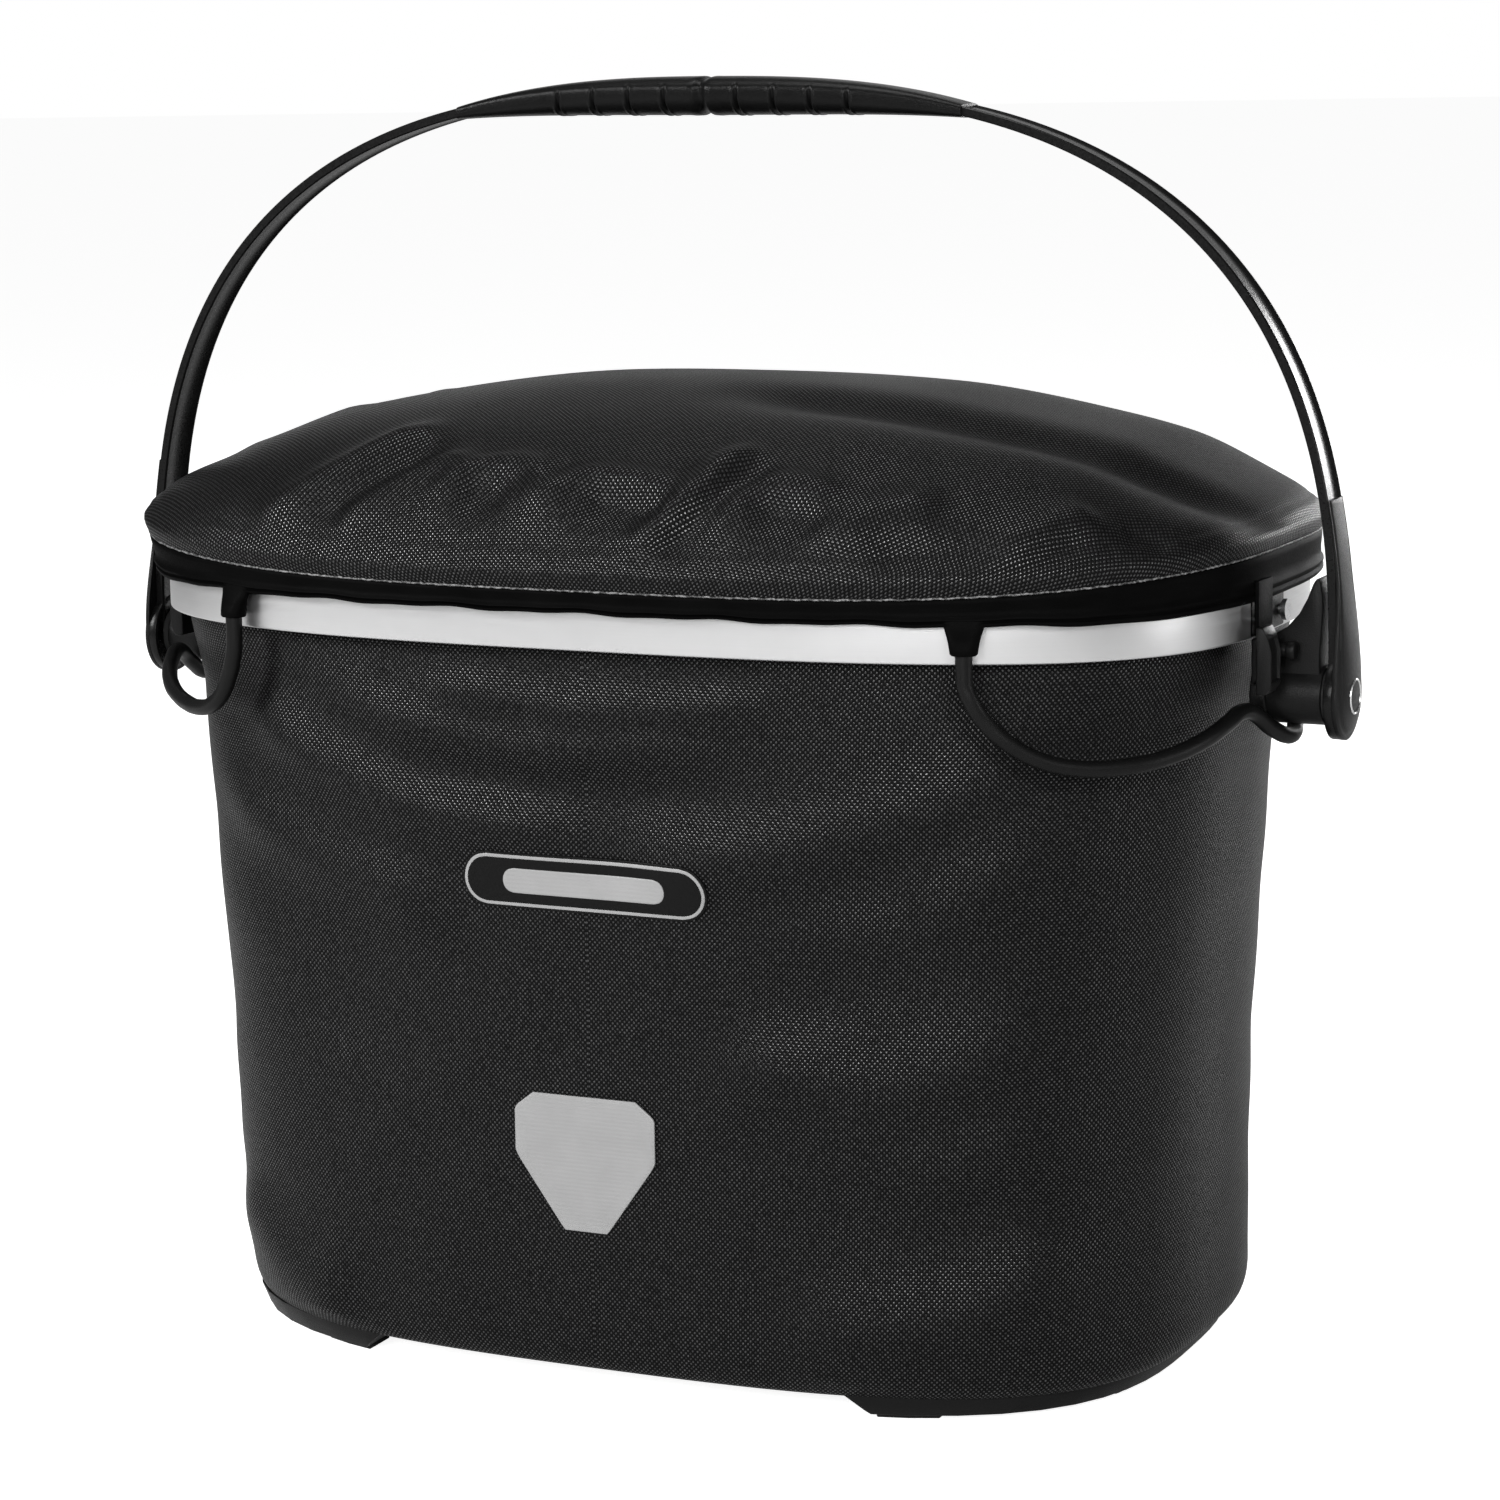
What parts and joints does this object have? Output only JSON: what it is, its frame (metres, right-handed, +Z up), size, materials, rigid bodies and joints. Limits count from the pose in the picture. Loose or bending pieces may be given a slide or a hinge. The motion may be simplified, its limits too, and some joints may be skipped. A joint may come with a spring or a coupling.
{
  "type": "handlebar basket",
  "caption": "Oval soft-sided bicycle handlebar basket on a metal rim, with a swinging carry bow, a domed lift-off fabric cover, base stands and a slide-on rear adapter.",
  "frame": {"origin": "centre of the footprint on the ground, under the middle of the overall depth of hem and adapter", "axes": "+Z up, +X to the basket's right end seen from the front, -Y towards the front with the reflector"},
  "size_m": [0.4624, 0.2584, 0.4378],
  "materials": {
    "anodised_rim": "satin anodised, fine brushed along the band",
    "steel_fastener": "zinc plated",
    "coated_weave": "coated coarse polyester weave, slight sheen",
    "smooth_hem": "smooth tightly woven tape",
    "board": "grey fluted plastic board",
    "black_plastic": "fine spark-eroded texture",
    "pad_rubber": "matt rubber",
    "cord_rubber": "smooth elastic cord",
    "nylon": "natural nylon",
    "reflective": "reflective micro-prism film",
    "badge": "moulded soft rubber",
    "bow_black": "black anodised satin",
    "grip_soft": "soft-touch",
    "bright_ring": "polished"
  },
  "bodies": {
    "basket": {"rim_band": "anodised_rim", "splice_plate": "anodised_rim", "splice_rivets": "steel_fastener", "bag_keder": "cord_rubber", "bag_wall": "coated_weave", "bag_floor": "coated_weave", "floor_board": "board", "back_board": "board", "base_stand_left": "black_plastic", "base_stand_right": "black_plastic", "foot_pads": "pad_rubber", "base_screws": "steel_fastener", "base_nuts": "steel_fastener", "hinge_bracket_left": "black_plastic", "hinge_bracket_right": "black_plastic", "bracket_screws": "steel_fastener", "bracket_nut_plates": "steel_fastener", "pivot_bolts": "steel_fastener", "pivot_nuts": "steel_fastener", "pivot_washers": "nylon", "adapter_plate": "black_plastic", "adapter_screws": "steel_fastener", "adapter_nuts": "steel_fastener", "reflector_patch": "reflective", "badge_patch": "badge"},
    "cover": {"cover_dome": "coated_weave", "cover_hem": "smooth_hem", "hem_elastic": "cord_rubber", "cord_tabs": "smooth_hem", "cord_ferrules": "black_plastic", "hook_straps": "smooth_hem", "cover_hook_left": "black_plastic", "cover_hook_right": "black_plastic", "elastic_loop_left": "cord_rubber", "elastic_loop_right": "cord_rubber"},
    "bow": {"carry_bow": "bow_black", "bow_grip": "grip_soft", "bow_cap_left": "black_plastic", "bow_cap_right": "black_plastic", "cap_rings": "bright_ring"}
  },
  "joints": [
    {"name": "bow_swing", "type": "hinge", "parent": "basket", "child": "bow", "pos_m": [0, -0.0118, 0.235], "axis": [1, 0, 0], "range_deg": [-90, 90]},
    {"name": "cover_lift", "type": "slide", "parent": "basket", "child": "cover", "axis": [0, 0, 1], "range_m": [0, 0.05], "deforming": ["elastic_loop_left", "elastic_loop_right"]}
  ]
}
